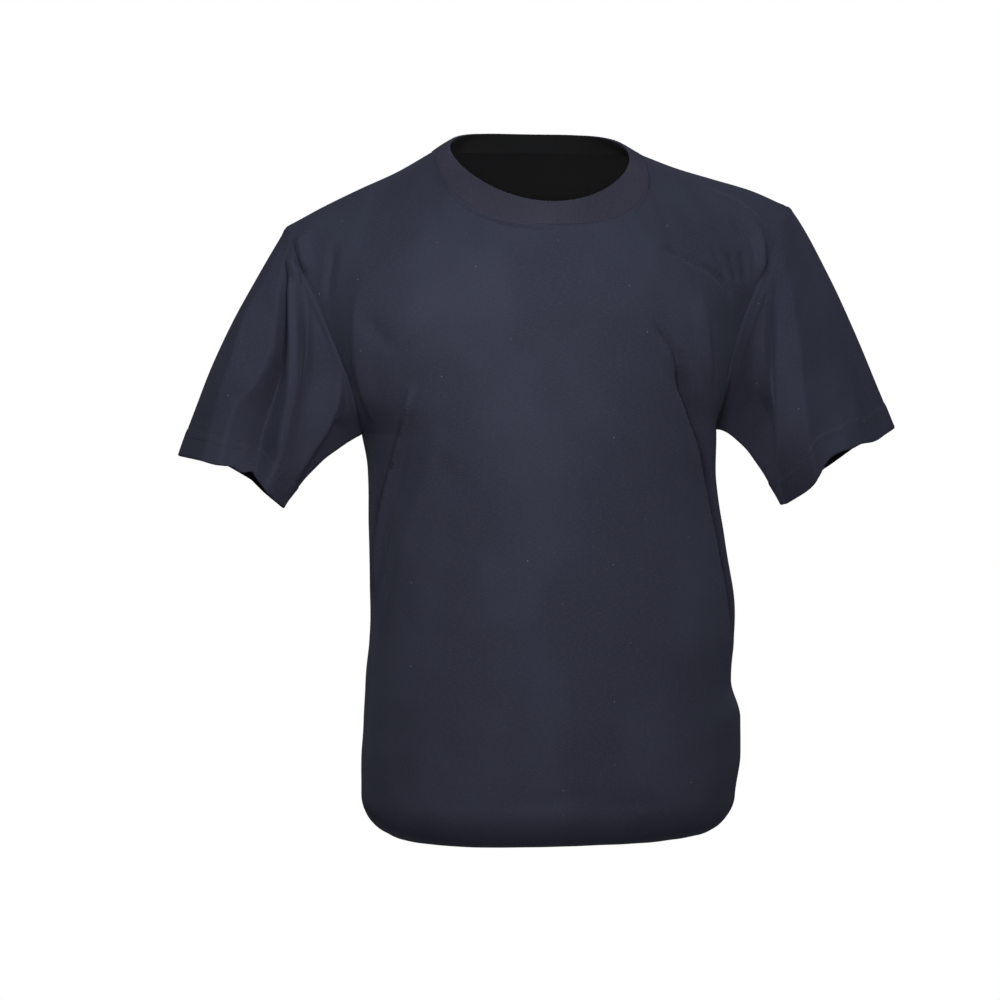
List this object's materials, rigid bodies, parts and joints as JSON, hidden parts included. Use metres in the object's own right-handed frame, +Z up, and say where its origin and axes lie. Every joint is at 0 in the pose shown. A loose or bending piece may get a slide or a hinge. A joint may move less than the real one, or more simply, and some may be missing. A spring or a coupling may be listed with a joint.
{
  "type": "crew neck t-shirt",
  "caption": "Short-sleeved crew neck t-shirt in dark jersey, filled out as if worn, with a ribbed neck band and the hem drawn in under the body.",
  "frame": {"origin": "the middle of the neck base, level with the two neck points where the shoulder seams end", "axes": "+Z up; the chest faces -Y; the wearer's left is towards +X"},
  "size_m": [0.6892, 0.2525, 0.6686],
  "materials": {
    "front_jersey": "matte cotton single jersey",
    "back_jersey": "matte cotton single jersey",
    "sleeve_right_jersey": "matte cotton single jersey",
    "sleeve_left_jersey": "matte cotton single jersey",
    "collar_rib": "matte cotton rib knit, folded double"
  },
  "bodies": {
    "root": {"front": "front_jersey", "back": "back_jersey", "sleeve_right": "sleeve_right_jersey", "sleeve_left": "sleeve_left_jersey", "collar": "collar_rib"}
  },
  "joints": []
}
